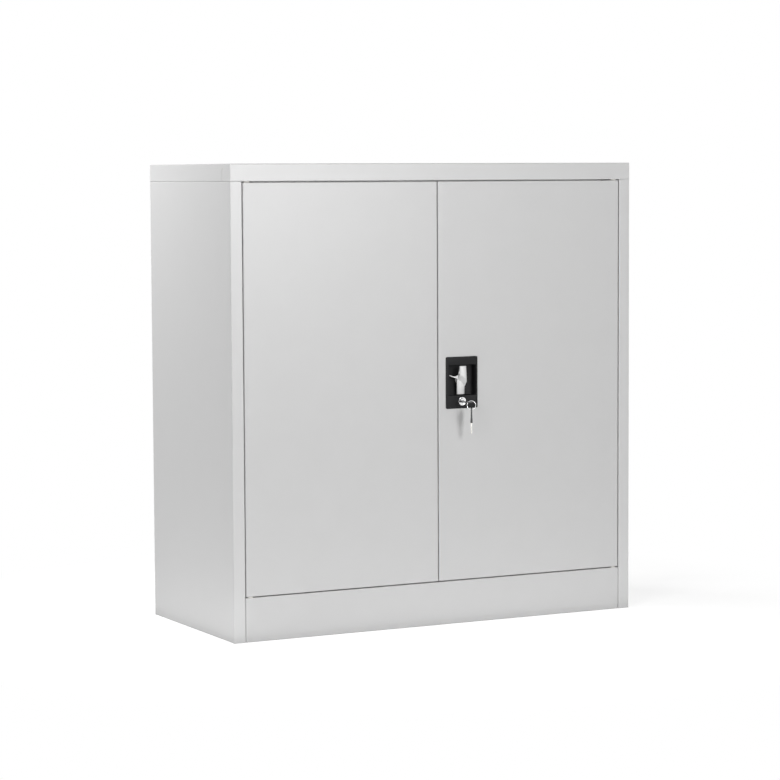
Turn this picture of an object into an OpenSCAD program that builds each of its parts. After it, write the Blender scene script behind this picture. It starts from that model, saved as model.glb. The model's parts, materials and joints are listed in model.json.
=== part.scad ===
// Half-height steel tool cabinet with two hinged doors.
// The right door carries a recessed turn handle that drives two shoot bolts and a
// latch arm, and a key lock whose cam blocks the handle.
// Millimetres. +X is right seen from the front, -Y is the front and +Z is up.
// The origin lies on the floor, in the middle of the plinth's foot flange.

/* [Cabinet] */
// Overall width
body_w = 900; // [800:10:1000]
// Overall depth without the keys
body_d = 400; // [380:10:460]
// Overall height
body_h = 925; // [880:5:1100]
// Height of the top tray's skirt
rail_h = 34; // [30:1:40]
// Height of the plinth
plinth_h = 87; // [80:1:100]
// Width of a front stile
stile_w = 25; // [23:1:30]
// Thickness of the steel sheet
sheet = 0.8; // [0.6:0.1:1.0]
// Outer radius of a fold
fold_r = 1.6; // [1.4:0.1:2.2]

/* [Doors] */
// Thickness of a door over its folded edges
door_t = 20; // [19:1:22]
// Gap round and between the doors
door_gap = 2; // [1.6:0.1:3]
// Distance of a hinge pin from its stile
pin_inset = 12; // [11:0.5:14]
// Distance of a hinge pin behind the front face
pin_back = 5; // [4.5:0.5:6]
// Diameter of a hinge pin
pin_d = 5; // [4:0.5:6]

/* [Shelves] */
// Height of the lower shelf's top face
shelf_1_z = 347; // [300:40:420]
// Height of the upper shelf's top face
shelf_2_z = 627; // [580:40:740]
// Height of a shelf's folded edge
shelf_t = 25; // [20:1:30]
// Distance between two slots of an upright
slot_pitch = 40; // [30:5:50]

/* [Lock] */
// Distance of the handle's axis from the cabinet's middle
lock_x = 54.5; // [52:0.5:60]
// Height of the handle's axis
lock_z = 491.7; // [440:1:520]
// Width of the lock plate
plate_w = 72; // [70:1:78]
// Height of the lock plate
plate_h = 104; // [102:1:110]
// Length of the handle
handle_l = 57; // [50:1:58]
// Radius of the crank pins' circle
crank_r = 14; // [13:0.5:15]

/* [Hidden] */
$fn = 48;

// Colours
grey = "gainsboro";
zinc = "lightsteelblue";
chrome = "silver";
black = "dimgray";
nylon = "ivory";
steel = "lightgray";

// Carcase
foot_d = 18;                        // depth of the plinth's foot flange
front_y = -foot_d / 2;
back_y = front_y + body_d;
half_w = body_w / 2;
side_h = body_h - rail_h;           // top of the side panels
jamb_d = 24;                        // depth of a stile's inner side
lip = 15;                           // width of a flange that is turned inwards
back_in = back_y - sheet;           // front face of the back panels
open_x = half_w - stile_w;          // half the width of the door opening
plinth_gap = 0.8;                   // gap between plinth and stile
stop_y = front_y + door_t + 1.4;    // front face of the door stop
stop_h = 10;                        // height of the door stop
stop_x = open_x - 33;               // half the length of the door stop
lap_l = 38;                         // rail's end that laps round a corner under the skirt
lap_h = 26;
lap_t = 0.4;                        // depth of the lap behind the skirt's face

// Doors
door_z0 = plinth_h + door_gap;
door_z1 = side_h - door_gap;
door_back = front_y + door_t;
pin_x = open_x - pin_inset;
pin_y = front_y + pin_back;
pin_r = pin_d / 2;
run = 0.08;                         // radial running clearance
washer_t = door_gap - 0.2;
plate_t = 3;                        // thickness of a hinge plate
side_flange = 12;                   // door flange at the sides
end_flange = 24;                    // door flange at the top and bottom

// Shelves
shelf_y0 = door_back + 25;
shelf_y1 = back_y - 16;
post_x = half_w - 13;               // inner face of an upright
post_w = 24;
post_foot = 8;
post_y = [shelf_y0 + 14, shelf_y1 - 50];
slot_w = 5;
slot_h = 12;
clip_t = 1.6;
clip_drop = 14;                     // from a slot's middle down to the clip's ledge
slot_z0 = shelf_1_z - shelf_t + clip_drop - 5 * slot_pitch;
slot_n = floor((side_h - 40 - slot_z0) / slot_pitch) + 1;

// Lock
cup_x = lock_x;
cup_floor = front_y + 15;           // front face of the recess floor
cup_back = cup_floor + 2;
plate_front = front_y - 1.6;
plate_x = lock_x - 1.3;
plate_z = lock_z - 4.6;
recess_w = 62.2;
recess_h = 61.6;
cup_wall = 1.4;
hole_x0 = cup_x - recess_w / 2 - cup_wall - 0.3;    // opening for the cup in the door skin
hole_x1 = cup_x + recess_w / 2 + cup_wall + 0.3;
hole_z0 = lock_z - recess_h / 2 - cup_wall - 0.3;
hole_z1 = lock_z + recess_h / 2 + cup_wall + 0.3;
hub_r = 7;
key_x = lock_x - 1.7;
key_z = lock_z - 42.3;
seat_r = 11;                        // round seat of the lock barrel
bezel_r = 8.3;
barrel_r = 7.4;
plug_r = 5.5;
barrel_back = door_back + 0.5;
crank_y = door_back + 1;            // front face of the crank plate and the cam
crank_t = 2;
rod_y = crank_y + crank_t + 2;      // front face of the rods
rod_t = 3;
rod_w = 12;
rod_dx = 13;                        // distance of a rod's middle from the axis
yoke_x = 12;                        // distance of a yoke slot's middle from the axis
rod_travel = 2 * crank_r * sin(45);
pin_slot = 6.2;                     // height of a rod's cross slot
arm_l = lock_x + 9;
lobe_r = 27;
lobe_angle = 198;
bolt_top = door_z1 - stop_h - 0.5;  // upper rod's tip, drawn back
bolt_bottom = plinth_h + 4;         // lower rod's tip, drawn back
guide_h = 13;
guide_d = 9.8;
guide_screw_dx = 9.65;
boss_r = 3;                         // bosses behind the lock plate
boss_at = [for (x = [-30, 30], z = [-39, plate_h / 2 - 7.3]) [plate_x + x, plate_z + z]];

// Keys
bow_r = 9.5;
bow_l = 30;
bow_thin = 2.6;
bow_thick = 5.6;
hole_r = 3.2;
blade_w = 7.2;
blade_t = 2.2;
blade_l = 22;
key_front = plate_front - 3.4;      // front face of the lock barrel's bezel
bow_y = key_front - 1;              // inner end of the key's bow
hole_y = bow_y - bow_l + bow_r - 4; // middle of the bow's hole
view_turn = 27.4;                   // the ring hangs turned by this much
ring_r = 8.6;
wire_r = 0.8;
ring_u = 5.4;                       // ring's middle from the bow's hole
ring_drop = 5.9;
ring_x = key_x + ring_u * cos(view_turn);
ring_y = hole_y - ring_u * sin(view_turn);
ring_z = key_z - ring_drop;

// --- Shapes that repeat -------------------------------------------------------

// Extrudes a plan outline, a front outline (x, z) or a side outline (y, z).
module along_z(z0, z1) translate([0, 0, z0]) linear_extrude(z1 - z0) children();
module along_y(y0, y1) translate([0, y1, 0]) rotate([90, 0, 0]) linear_extrude(y1 - y0) children();
module along_x(x0, x1) translate([x0, 0, 0]) rotate([90, 0, 90]) linear_extrude(x1 - x0) children();

// A round bar from y0 to y1 about the line x, z.
module bar_y(x, z, r, y0, y1) translate([x, y1, z]) rotate([90, 0, 0]) cylinder(h = y1 - y0, r = r);

module mirrored(right) {
    if (right) mirror([1, 0, 0]) children();
    else children();
}

function unit(v) = v / norm(v);

// Section of folded sheet: right-angled bends along a centre line.
module folded(path, t = sheet, r = fold_r) {
    last = len(path) - 1;
    mid = r - t / 2;
    for (i = [0 : last - 1]) {
        d = unit(path[i + 1] - path[i]);
        a = path[i] + (i > 0 ? mid : 0) * d;
        b = path[i + 1] - (i < last - 1 ? mid : 0) * d;
        n = [-d.y, d.x] * t / 2;
        polygon([a + n, a - n, b - n, b + n]);
    }
    for (i = [1 : last - 1]) {
        din = unit(path[i] - path[i - 1]);
        dout = unit(path[i + 1] - path[i]);
        c = path[i] + mid * (dout - din);
        intersection() {
            translate(c) difference() {
                circle(r = r);
                circle(r = r - t);
            }
            polygon([c, c + r * din, c + r * (din - dout), c - r * dout]);
        }
    }
}

module rounded_rect(x0, x1, y0, y1, r) {
    translate([x0 + r, y0]) square([x1 - x0 - 2 * r, y1 - y0]);
    translate([x0, y0 + r]) square([x1 - x0, y1 - y0 - 2 * r]);
    for (x = [x0 + r, x1 - r], y = [y0 + r, y1 - r]) translate([x, y]) circle(r = r);
}

// A block with every edge rounded, lo and hi are opposite corners.
module soft_block(lo, hi, r) {
    intersection() {
        along_z(lo.z, hi.z) rounded_rect(lo.x, hi.x, lo.y, hi.y, r);
        along_y(lo.y, hi.y) rounded_rect(lo.x, hi.x, lo.z, hi.z, r);
        along_x(lo.x, hi.x) rounded_rect(lo.y, hi.y, lo.z, hi.z, r);
    }
}

// The same block as a shell of sheet.
module shell(lo, hi) {
    t = [sheet, sheet, sheet];
    difference() {
        soft_block(lo, hi, fold_r);
        soft_block(lo + t, hi - t, fold_r - sheet);
    }
}

module block(lo, hi) translate(lo) cube(hi - lo);

// --- Carcase ------------------------------------------------------------------

// Side wall with its front stile, rear flange and the flanges at its top and foot.
module side_panel(right) {
    h = sheet / 2;
    xo = -half_w + h;
    xj = -open_x - h;
    yf = front_y + h;
    yj = front_y + jamb_d - h;
    yb = back_in - h;
    strip = 8;
    mirrored(right) color(grey) difference() {
        union() {
            along_z(0, side_h)
                folded([[xj - 10, yj], [xj, yj], [xj, yf], [xo, yf], [xo, yf + strip]]);
            along_z(0, side_h)
                folded([[xo, yb - strip], [xo, yb], [xo + lip, yb]]);
            along_y(yf + strip, yb - strip)
                folded([[xo + lip, h], [xo, h], [xo, side_h - h], [xo + lip, side_h - h]]);
        }
        for (z = back_screw_z()) bar_y(-half_w + lip / 2 + 1, z, 2.1, back_in - 2, back_y);
    }
}

function back_screw_z() = [for (i = [0 : 4]) 60 + i * (side_h - 120) / 4];

// Rail's end that laps round the left corner: a shallow step with one rounded corner.
module lap(x0, x1, grow) {
    h = lap_h + grow;
    l = lap_l + grow;
    r = 8;
    translate([0, front_y, side_h]) along_x(x0, x1) {
        square([l, h - r]);
        square([l - r, h]);
        translate([l - r, h - r]) circle(r = r);
    }
}

// Top with its skirt all round, the front rail's flange and the door stop behind it.
module top_tray() {
    front_lip = stop_y + sheet - front_y;
    ys = stop_y + sheet / 2;
    zf = side_h + sheet / 2;
    color(grey) difference() {
        union() {
            difference() {
                shell([-half_w, front_y, side_h], [half_w, back_y, body_h]);
                block([-half_w + lip, front_y + front_lip - fold_r, side_h - 1],
                      [half_w - lip, back_y - lip, side_h + sheet + 0.2]);
            }
            along_x(-stop_x, stop_x)
                folded([[ys - 5, zf], [ys, zf], [ys, side_h - stop_h]]);
            for (s = [-1, 1]) along_z(side_h, side_h + sheet)
                translate([s * (stop_x + half_w - lip) / 2, front_y + front_lip - 2])
                    square([half_w - lip - stop_x, 4], center = true);
            for (right = [false, true]) mirrored(right) intersection() {
                lap(-half_w + sheet / 2, -half_w + sheet + lap_t, 1);
                block([-half_w, front_y + fold_r, side_h + fold_r], [0, back_y, body_h]);
            }
        }
        for (right = [false, true]) mirrored(right) lap(-half_w - 1, -half_w + lap_t, 0);
        for (s = [-1, 1]) translate([s * pin_x, pin_y, side_h - 1]) cylinder(h = 3, r = pin_r + run);
    }
}

// Plinth and cabinet floor in one sheet, cut out behind the stiles.
module base_tray() {
    h = sheet / 2;
    px = open_x - plinth_gap;
    wide = half_w - sheet - 0.3;
    deck_y0 = front_y + jamb_d + 1;
    deck_y1 = back_in - sheet - fold_r;
    zd = plinth_h - h;
    color(grey) difference() {
        union() {
            difference() {
                shell([-px, front_y, 0], [px, front_y + foot_d + 6, plinth_h]);
                block([-px - 1, front_y + foot_d, -1], [px + 1, front_y + foot_d + 7, plinth_h + 1]);
            }
            block([-px, front_y + foot_d, plinth_h - sheet], [px, deck_y0, plinth_h]);
            along_y(deck_y0, deck_y1)
                folded([[-wide + h, plinth_h - 20], [-wide + h, zd],
                        [wide - h, zd], [wide - h, plinth_h - 20]]);
            along_x(-wide + 12, wide - 12)
                folded([[deck_y1 - 10, zd], [deck_y1 + h, zd], [deck_y1 + h, plinth_h - 20]]);
        }
        for (s = [-1, 1])
            translate([s * pin_x, pin_y, plinth_h - 2]) cylinder(h = 3, r = pin_r + run);
        block([lock_x - rod_dx - 9, rod_y - 2.5, plinth_h - 2],
              [lock_x - rod_dx + 9, rod_y + rod_t + 2.5, plinth_h + 1]);
    }
}

// Hat channel welded under the cabinet floor.
module deck_stiffener() {
    z = plinth_h - sheet - sheet / 2;
    y = (front_y + back_y) / 2;
    color(grey) along_x(-half_w + 25, half_w - 25)
        folded([[y - 40, z], [y - 25, z], [y - 25, z - 20],
                [y + 25, z - 20], [y + 25, z], [y + 40, z]]);
}

// One half of the back. Its middle edge is turned inwards above the cabinet floor.
module back_panel(right) {
    y = back_y - sheet / 2;
    seam_x = sheet / 2 + 0.05;
    seam_d = 13;
    mirrored(right) color(grey) difference() {
        union() {
            along_z(1.5, side_h - 0.5)
                folded([[-half_w + 2, y], [-seam_x, y], [-seam_x, y - fold_r]]);
            along_z(plinth_h + 1, side_h - 0.5)
                folded([[-seam_x, y - fold_r + 0.4], [-seam_x, y - seam_d]]);
        }
        for (z = back_screw_z()) bar_y(-half_w + lip / 2 + 1, z, 2.1, back_in - 2, back_y + 1);
    }
}

module back_screws() {
    color(zinc) for (s = [-1, 1], z = back_screw_z()) {
        x = s * (half_w - lip / 2 - 1);
        bar_y(x, z, 1.9, back_in - 6, back_y);
        bar_y(x, z, 3.7, back_y, back_y + 1.6);
    }
}

// Slotted upright for the shelf clips: a hat section against the side wall.
module upright(y, right) {
    h = sheet / 2;
    wall = -half_w + sheet + h;
    face = -post_x - h;
    y1 = y + post_w;
    mirrored(right) color(grey) difference() {
        along_z(plinth_h, side_h - fold_r - 0.4)
            folded([[wall, y - post_foot], [wall, y], [face, y],
                    [face, y1], [wall, y1], [wall, y1 + post_foot]]);
        for (i = [0 : slot_n - 1])
            block([face - 1, y + (post_w - slot_w) / 2, slot_z0 + i * slot_pitch - slot_h / 2],
                  [face + 1, y + (post_w + slot_w) / 2, slot_z0 + i * slot_pitch + slot_h / 2]);
    }
}

// Shelf: a tray turned over, with a closed edge all round.
module shelf(z) {
    sx = post_x - 2;
    color(grey) difference() {
        shell([-sx, shelf_y0, z - shelf_t], [sx, shelf_y1, z]);
        block([-sx + 14, shelf_y0 + 14, z - shelf_t - 1],
              [sx - 14, shelf_y1 - 14, z - shelf_t + sheet + 0.2]);
    }
}

// Bent clips that hook into the uprights and carry one shelf.
module shelf_clips(z) {
    ledge = z - shelf_t - clip_t / 2;
    mid = ledge + clip_t / 2 + clip_drop;
    front = -post_x + 0.05 + clip_t / 2;
    behind = -post_x - sheet - 0.15 - clip_t / 2;
    color(zinc) for (right = [false, true], y = post_y) mirrored(right) {
        my = y + post_w / 2;
        along_y(my - 2.2, my + 2.2)
            folded([[behind, mid + 9], [behind, mid + 1], [front, mid + 1], [front, mid - 6]], clip_t, 1.7);
        along_y(my - 8, my + 8)
            folded([[front, mid - 4], [front, ledge], [front + 12, ledge]], clip_t, 1.7);
    }
}

// Thick plates that carry the hinge pins behind the rail and the plinth.
module hinge_plates() {
    color(steel) for (s = [-1, 1], z = [plinth_h - sheet - plate_t, side_h + sheet]) difference() {
        translate([s * (pin_x - 1), pin_y + 4, z + plate_t / 2]) cube([19, 15, plate_t], center = true);
        translate([s * pin_x, pin_y, z - 1]) cylinder(h = plate_t + 2, r = pin_r + run);
    }
}

module hinge_washers() {
    color(nylon) for (s = [-1, 1], z = [plinth_h, side_h - washer_t]) translate([s * pin_x, pin_y, z])
        difference() {
            cylinder(h = washer_t, r = pin_r * 2 + 0.4);
            translate([0, 0, -1]) cylinder(h = washer_t + 2, r = pin_r + run);
        }
}

// Rubber buffers on the door stop.
module door_buffers() {
    color(black) for (x = [-stop_x + 30, -40, 40, stop_x - 30])
        bar_y(x, side_h - stop_h / 2 - 0.6, 3.5, stop_y - 1.2, stop_y);
}

// --- Doors --------------------------------------------------------------------

module door_shell() {
    x0 = -open_x + door_gap;
    x1 = -door_gap / 2;
    difference() {
        shell([x0, front_y, door_z0], [x1, door_back, door_z1]);
        block([x0 + side_flange, door_back - sheet - 1, door_z0 + end_flange],
              [x1 - side_flange, door_back + 1, door_z1 - end_flange]);
        translate([-pin_x, pin_y, door_z0 - 1]) cylinder(h = door_z1 - door_z0 + 2, r = pin_r + 0.02);
    }
}

module left_door() color(grey) door_shell();

// Opening for the recess, the barrel's seat and the four bosses of the lock plate.
module lock_hole(y0, y1) {
    block([hole_x0, y0, hole_z0], [hole_x1, y1, hole_z1]);
    block([key_x - seat_r - 0.3, y0, key_z], [key_x + seat_r + 0.3, y1, hole_z0 + 1]);
    bar_y(key_x, key_z, seat_r + 0.3, y0, y1);
    for (at = boss_at) bar_y(at.x, at.y, boss_r + 0.3, y0, y1);
}

module right_door() {
    color(grey) difference() {
        mirror([1, 0, 0]) door_shell();
        lock_hole(front_y - 1, front_y + sheet + 0.2);
        for (at = guide_screw_at()) bar_y(at.x, at.y, 1.6, door_back - 2, door_back + 1);
    }
}

// Hat section welded up the middle of a door's skin.
module door_stiffener(right) {
    x = -open_x / 2;
    y = front_y + sheet * 1.5;
    depth = 14;
    mirrored(right) color(grey) along_z(door_z0 + end_flange + 6, door_z1 - end_flange - 6)
        folded([[x - 40, y], [x - 25, y], [x - 25, y + depth],
                [x + 25, y + depth], [x + 25, y], [x + 40, y]]);
}

// Headed pins: the head sits inside the door, the shank runs in the hinge plate.
module hinge_pins(right) {
    head = 2;
    reach = door_gap + sheet + plate_t + 1;
    mirrored(right) color(steel) for (top = [0, 1])
        translate([-pin_x, pin_y, top ? door_z1 - sheet : door_z0 + sheet]) mirror([0, 0, top ? 0 : 1]) {
            translate([0, 0, -head]) cylinder(h = head, r = pin_r + 1.2);
            cylinder(h = sheet + reach, r = pin_r);
        }
}

// --- Lock and bolts -----------------------------------------------------------

// Black moulded plate with the finger recess and the seat of the lock barrel.
module lock_cup() {
    x0 = cup_x - recess_w / 2;
    x1 = cup_x + recess_w / 2;
    wall = cup_wall;
    z0 = lock_z - recess_h / 2;
    z1 = lock_z + recess_h / 2;
    color(black) difference() {
        union() {
            along_y(plate_front, front_y)
                rounded_rect(plate_x - plate_w / 2, plate_x + plate_w / 2,
                             plate_z - plate_h / 2, plate_z + plate_h / 2, 3);
            along_y(front_y, cup_back)
                rounded_rect(x0 - wall, x1 + wall, z0 - wall, z1 + wall, 4);
            bar_y(key_x, key_z, seat_r, front_y, cup_back);
            bar_y(cup_x, lock_z, 12, cup_back, cup_back + 2);
            for (at = boss_at) bar_y(at.x, at.y, boss_r, front_y, front_y + sheet + 1.3);
        }
        intersection() {
            along_z(z0, z1) polygon([[x0, plate_front - 1], [x1, plate_front - 1], [x1, cup_floor],
                                     [x0 + 12, cup_floor], [x0 + 4, cup_floor - 6], [x0, plate_front]]);
            along_y(plate_front - 1, cup_floor) rounded_rect(x0, x1, z0, z1, 3);
        }
        bar_y(cup_x, lock_z, hub_r + run, cup_floor - 1, cup_back + 3);
        bar_y(key_x, key_z, barrel_r + 0.1, plate_front - 1, cup_back + 1);
        for (at = boss_at) bar_y(at.x, at.y, 1.35, plate_front + 0.7, front_y + sheet + 2);
    }
}

// Steel frame that clamps the cup to the inside of the door skin.
module lock_cup_frame() {
    y0 = front_y + sheet;
    color(zinc) difference() {
        along_y(y0, y0 + 1.5)
            rounded_rect(hole_x0 - 8, hole_x1 + 8, key_z - 18, plate_z + plate_h / 2 - 1, 3);
        lock_hole(y0 - 1, y0 + 3);
    }
}

// Washer-head screws that draw the frame to the bosses.
module cup_screws() {
    y = front_y + sheet + 1.5;
    color(zinc) for (at = boss_at) {
        bar_y(at.x, at.y, 1.3, plate_front + 1, y);
        bar_y(at.x, at.y, boss_r + 1.3, y, y + 1.6);
    }
}

// Lower left corners (x, z) of the upper and the lower guide block, and their screws.
function guide_at() = [
    [lock_x + rod_dx - 13, door_z1 - end_flange + 0.5],
    [lock_x - rod_dx - 13, door_z0 + end_flange - guide_h - 0.5]
];
function guide_screw_at() =
    [for (at = guide_at(), s = [-1, 1]) [at.x + 13 + s * guide_screw_dx, at.y + guide_h / 2]];

// Guide block on a door's end flange, with a window for the rod.
module rod_guide(at) {
    y0 = door_back;
    middle = at.x + 13;
    color(nylon) difference() {
        along_y(y0, y0 + guide_d) rounded_rect(at.x, at.x + 26, at.y, at.y + guide_h, 1.5);
        block([middle - rod_w / 2 - 0.3, rod_y - 0.3, at.y - 1],
              [middle + rod_w / 2 + 0.3, rod_y + rod_t + 0.3, at.y + guide_h + 1]);
        for (s = [-1, 1])
            bar_y(middle + s * guide_screw_dx, at.y + guide_h / 2, 1.6, y0 - 1, y0 + guide_d + 1);
    }
}

module rod_guide_upper() rod_guide(guide_at()[0]);
module rod_guide_lower() rod_guide(guide_at()[1]);

module guide_screws() {
    color(zinc) for (at = guide_screw_at()) {
        bar_y(at.x, at.y, 1.5, door_back - 3, door_back + guide_d);
        bar_y(at.x, at.y, 2.7, door_back + guide_d, door_back + guide_d + 1.5);
    }
}

module lock_barrel() {
    color(chrome) difference() {
        union() {
            bar_y(key_x, key_z, bezel_r, key_front + 0.8, plate_front);
            translate([key_x, key_front + 0.8, key_z]) rotate([90, 0, 0])
                cylinder(h = 0.8, r1 = bezel_r, r2 = bezel_r - 0.8);
            bar_y(key_x, key_z, barrel_r, plate_front, barrel_back);
        }
        bar_y(key_x, key_z, plug_r + run, key_front - 1, barrel_back + 1);
    }
}

module barrel_nut() {
    nut_r = 11;
    color(zinc) difference() {
        translate([key_x, cup_back + 3, key_z]) rotate([90, 30, 0]) cylinder(h = 3, r = nut_r, $fn = 6);
        bar_y(key_x, key_z, barrel_r + 0.05, cup_back - 1, cup_back + 4);
    }
}

// Cast handle: a level lower arm and a proud upper arm with a slanting step between
// them, a thumb spur, a knob beside it and the hub. Drawn about the handle's axis.
module handle() {
    half_w = 16.5 / 2;
    half_l = handle_l / 2;
    far = handle_l;
    low_y = front_y + 2.5;
    high_y = front_y - 6;
    arm_t = 5;
    low_back = low_y + arm_t;
    high_back = high_y + arm_t + 1;
    crown = 14;
    step_turn = 42;                 // slant of the step
    step_0 = -2.8;                  // where the step begins and ends, across the slant
    step_1 = 5.5;
    color(chrome) translate([lock_x, 0, lock_z]) difference() {
        union() {
            intersection() {
                along_y(high_y, low_back) rounded_rect(-half_w, half_w, -half_l, half_l, 3);
                union() {
                    intersection() {
                        rotate([0, step_turn, 0]) along_x(-far, far) polygon([
                            [low_y, -far], [low_y, step_0], [low_back, step_0], [low_back, -far]]);
                        translate([0, low_y + crown, -half_l]) cylinder(h = handle_l, r = crown);
                    }
                    intersection() {
                        rotate([0, step_turn, 0]) along_x(-far, far) polygon([
                            [low_y, step_0], [high_y, step_1], [high_y, far],
                            [high_back, far], [high_back, step_1 + 8], [low_back, step_0 + 4],
                            [low_back, step_0]]);
                        translate([0, high_y + crown, -half_l]) cylinder(h = handle_l, r = crown);
                    }
                }
            }
            along_y(low_y + 0.5, low_y + 3) polygon([
                [-26, 7.6], [-26, 9.6], [-22.4, 8.2], [-18.4, 6.9], [-14, 8.2], [1 - half_w, 12.4],
                [1 - half_w, 3.6], [-14, 4.8], [-18.4, 4.4], [-22.4, 5.6]]);
            bar_y(0.6 - half_w, 15.5, 2, high_y + 2, high_y + 5);
            bar_y(0, 0, hub_r + 2, low_y + 2, cup_floor - 0.3);
            bar_y(0, 0, hub_r, cup_floor - 0.3, cup_back + 2);
        }
        translate([-3.6, cup_floor - 6, -3.6]) cube([7.2, 12, 7.2]);
    }
}

// Square spindle between the handle's hub and the crank plate.
module spindle() {
    end = crank_y + crank_t;
    color(steel) difference() {
        translate([lock_x - 3.5, cup_floor - 6, lock_z - 3.5]) cube([7, end - cup_floor + 6, 7]);
        bar_y(lock_x, lock_z, 1.7, end - 8, end + 1);
    }
}

module spindle_screw() {
    end = crank_y + crank_t;
    color(zinc) {
        bar_y(lock_x, lock_z, 1.6, end - 7, end);
        bar_y(lock_x, lock_z, 4, end, end + 2);
    }
}

// Crank plate with its two shouldered and swaged pins, the latch arm and the lobe
// the cam blocks.
module crank_plate() {
    color(zinc) translate([lock_x, 0, lock_z]) difference() {
        union() {
            along_y(crank_y, crank_y + crank_t) {
                circle(r = crank_r + 4.5);
                translate([-7, 0]) square([14, arm_l - 7]);
                translate([0, arm_l - 7]) circle(r = 7);
                rotate(lobe_angle) translate([0, -4.5]) square([lobe_r, 9]);
            }
            for (a = [-45, 135]) rotate([0, -a, 0]) {
                bar_y(crank_r, 0, 2.5, crank_y, rod_y + rod_t + 1.2);
                bar_y(crank_r, 0, 3.8, crank_y, rod_y - 0.2);
                bar_y(crank_r, 0, 4, rod_y + rod_t + 0.2, rod_y + rod_t + 1.2);
            }
        }
        translate([-3.55, crank_y - 1, -3.55]) cube([7.1, crank_t + 2, 7.1]);
    }
}

// Flat shoot bolt with a cross-slotted head that a crank pin drives. It runs upwards
// from the handle's axis for its length; the lower bolt is the same part turned over.
module rod(length) {
    head_z = -rod_travel / 2;
    slot = pin_slot / 2;
    half_run = 5.1 - slot;
    along_y(rod_y, rod_y + rod_t) difference() {
        union() {
            translate([yoke_x, head_z]) square([15, pin_slot + 7], center = true);
            polygon([[rod_dx - rod_w / 2, head_z], [rod_dx + rod_w / 2, head_z],
                     [rod_dx + rod_w / 2, length - 5], [rod_dx + 3, length],
                     [rod_dx - 3, length], [rod_dx - rod_w / 2, length - 5]]);
        }
        translate([yoke_x, head_z]) square([half_run * 2, pin_slot], center = true);
        for (s = [-1, 1]) translate([yoke_x + s * half_run, head_z]) circle(r = slot);
    }
}

module rod_upper() color(zinc) translate([lock_x, 0, lock_z]) rod(bolt_top - lock_z);
module rod_lower() color(zinc) translate([lock_x, 0, lock_z]) rotate([0, 180, 0]) rod(lock_z - bolt_bottom);

module lock_plug() {
    tail = 2.9;
    color(chrome) difference() {
        union() {
            bar_y(key_x, key_z, plug_r, key_front + 0.4, barrel_back);
            bar_y(key_x, key_z, tail, barrel_back, crank_y + crank_t);
        }
        block([key_x - blade_w / 2 - 0.2, key_front - 1, key_z - blade_t / 2 - 0.15],
              [key_x + blade_w / 2 + 0.2, key_front + blade_l + 0.5, key_z + blade_t / 2 + 0.15]);
        bar_y(key_x, key_z, 1.3, barrel_back - 1, crank_y + crank_t + 1);
    }
}

// Lock cam: lies across at rest and stands up beside the lobe when the key is turned.
module lock_cam() {
    color(zinc) translate([key_x, 0, key_z]) difference() {
        along_y(crank_y, crank_y + crank_t) {
            circle(r = 6);
            translate([-18, -4]) square([18, 8]);
        }
        bar_y(0, 0, 2.95, crank_y - 1, crank_y + crank_t + 1);
    }
}

module cam_screw() {
    color(zinc) {
        bar_y(key_x, key_z, 1.2, barrel_back - 0.5, crank_y + crank_t);
        bar_y(key_x, key_z, 4, crank_y + crank_t, crank_y + crank_t + 1.8);
    }
}

// --- Keys ---------------------------------------------------------------------

// A key lies flat with its shoulder at y = 0, its bow towards -Y and its blade
// towards +Y.
module blade() {
    bits = [for (i = [0 : 3]) 5 + i * 4];
    difference() {
        block([-blade_w / 2, -8, -blade_t / 2], [blade_w / 2, blade_l, blade_t / 2]);
        for (b = bits) translate([blade_w / 2 + 0.4, b, -blade_t]) rotate(45) cube([2, 2, blade_t * 2]);
        for (s = [-1, 1]) translate([s * blade_w / 2, blade_l + 1.5, -blade_t]) rotate(45)
            translate([-2.5, -2.5, 0]) cube([5, 5, blade_t * 2]);
    }
}

module bow() {
    neck = 10;
    color(black) difference() {
        intersection() {
            along_z(-bow_thick / 2, bow_thick / 2) {
                translate([0, bow_r - bow_l]) circle(r = bow_r);
                polygon([[-bow_r, bow_r - bow_l], [bow_r, bow_r - bow_l], [neck / 2 + 1.5, -4],
                         [neck / 2, 0], [-neck / 2, 0], [-neck / 2 - 1.5, -4]]);
            }
            along_x(-bow_r, bow_r) polygon([
                [-bow_l, -bow_thin / 2], [bow_r - bow_l, -bow_thin / 2],
                [-2, -bow_thick / 2], [0, -bow_thick / 2], [0, bow_thick / 2],
                [-2, bow_thick / 2], [bow_r - bow_l, bow_thin / 2], [-bow_l, bow_thin / 2]]);
        }
        translate([0, bow_r - bow_l - 4, -bow_thick]) cylinder(h = bow_thick * 2, r = hole_r);
        block([-blade_w / 2 - 0.05, -8.05, -blade_t / 2 - 0.05], [blade_w / 2 + 0.05, 1, blade_t / 2 + 0.05]);
    }
}

module at_lock() translate([key_x, bow_y, key_z]) children();

// The spare key hangs upright on the ring, edge on to the ring's plane.
module at_ring() {
    hole = bow_r - bow_l - 4;
    slack = hole_r - wire_r - 0.1;
    translate([ring_x, ring_y, ring_z - ring_r - slack]) rotate(-view_turn) rotate([-90, 0, 0])
        rotate([0, 90, 0]) translate([0, -hole, 0]) children();
}

module key_blade() color(steel) at_lock() blade();
module key_bow() at_lock() bow();
module spare_key_blade() color(steel) at_ring() blade();
module spare_key_bow() at_ring() bow();

module key_ring() {
    color(chrome) translate([ring_x, ring_y, ring_z]) rotate(-view_turn) rotate([90, 0, 0])
        rotate_extrude(angle = 360) translate([ring_r, 0]) circle(r = wire_r, $fn = 24);
}

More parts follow.
